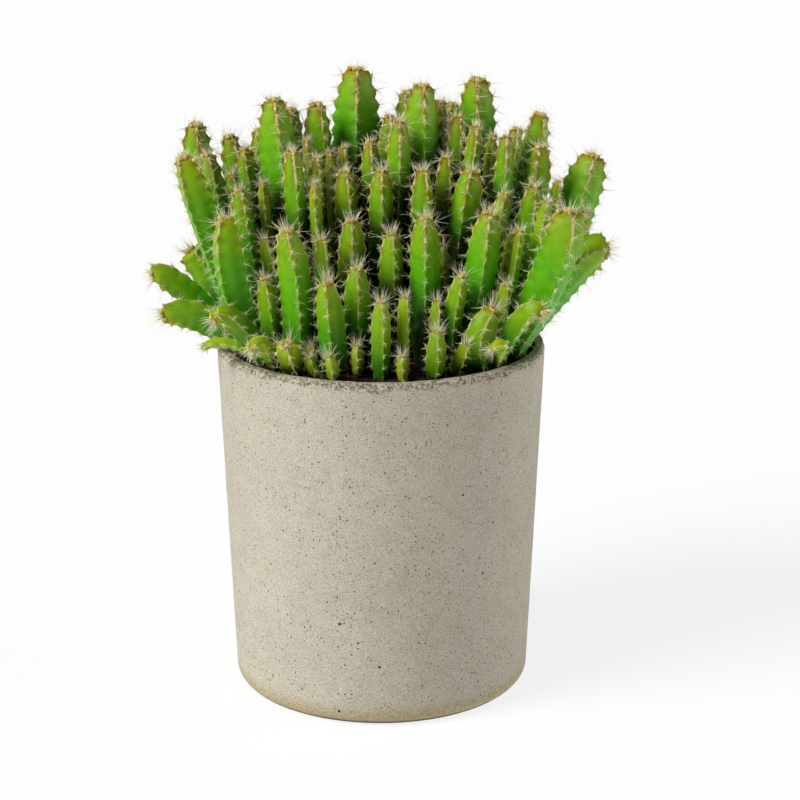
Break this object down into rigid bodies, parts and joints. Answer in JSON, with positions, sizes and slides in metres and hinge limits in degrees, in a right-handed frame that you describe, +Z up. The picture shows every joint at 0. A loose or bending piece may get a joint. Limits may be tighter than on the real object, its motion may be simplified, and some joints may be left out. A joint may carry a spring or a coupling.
{
  "type": "potted columnar cactus",
  "caption": "Dense clump of upright ribbed cactus stems with spines, growing in a round concrete pot filled with dark soil.",
  "frame": {"origin": "centre of the pot's flat base", "axes": "+Z up along the pot's axis, -Y towards the front of the picture, +X to its right"},
  "size_m": [0.187, 0.1509, 0.252],
  "materials": {
    "concrete": "matte",
    "soil": "matte",
    "cactus": "satin"
  },
  "bodies": {
    "root": {"pot": "concrete", "soil": "soil", "stem_front_01": "cactus", "stem_front_02": "cactus", "stem_front_03": "cactus", "stem_front_04": "cactus", "stem_front_05": "cactus", "stem_front_06": "cactus", "stem_front_07": "cactus", "stem_front_08": "cactus", "stem_front_09": "cactus", "stem_front_10": "cactus", "stem_front_11": "cactus", "stem_left_01": "cactus", "stem_left_02": "cactus", "stem_left_03": "cactus", "stem_left_04": "cactus", "stem_right_01": "cactus", "stem_right_02": "cactus", "stem_right_03": "cactus", "stem_right_04": "cactus", "stem_middle_01": "cactus", "stem_middle_02": "cactus", "stem_middle_03": "cactus", "stem_middle_04": "cactus", "stem_middle_05": "cactus", "stem_middle_06": "cactus", "stem_middle_07": "cactus", "stem_middle_08": "cactus", "stem_middle_09": "cactus", "stem_middle_10": "cactus", "stem_middle_11": "cactus", "stem_middle_12": "cactus", "stem_back_01": "cactus", "stem_back_02": "cactus", "stem_back_03": "cactus", "stem_back_04": "cactus", "stem_back_05": "cactus", "stem_back_06": "cactus", "stem_back_07": "cactus", "stem_back_08": "cactus", "stem_back_09": "cactus", "stem_far_01": "cactus", "stem_far_02": "cactus", "stem_far_03": "cactus", "stem_far_04": "cactus", "stem_far_05": "cactus", "stem_far_06": "cactus", "stem_far_07": "cactus", "stem_inner_01": "cactus", "stem_inner_02": "cactus", "stem_inner_03": "cactus", "stem_inner_04": "cactus", "stem_inner_05": "cactus", "stem_low_01": "cactus", "stem_low_02": "cactus", "stem_low_03": "cactus", "stem_low_04": "cactus", "stem_low_05": "cactus"}
  },
  "joints": []
}
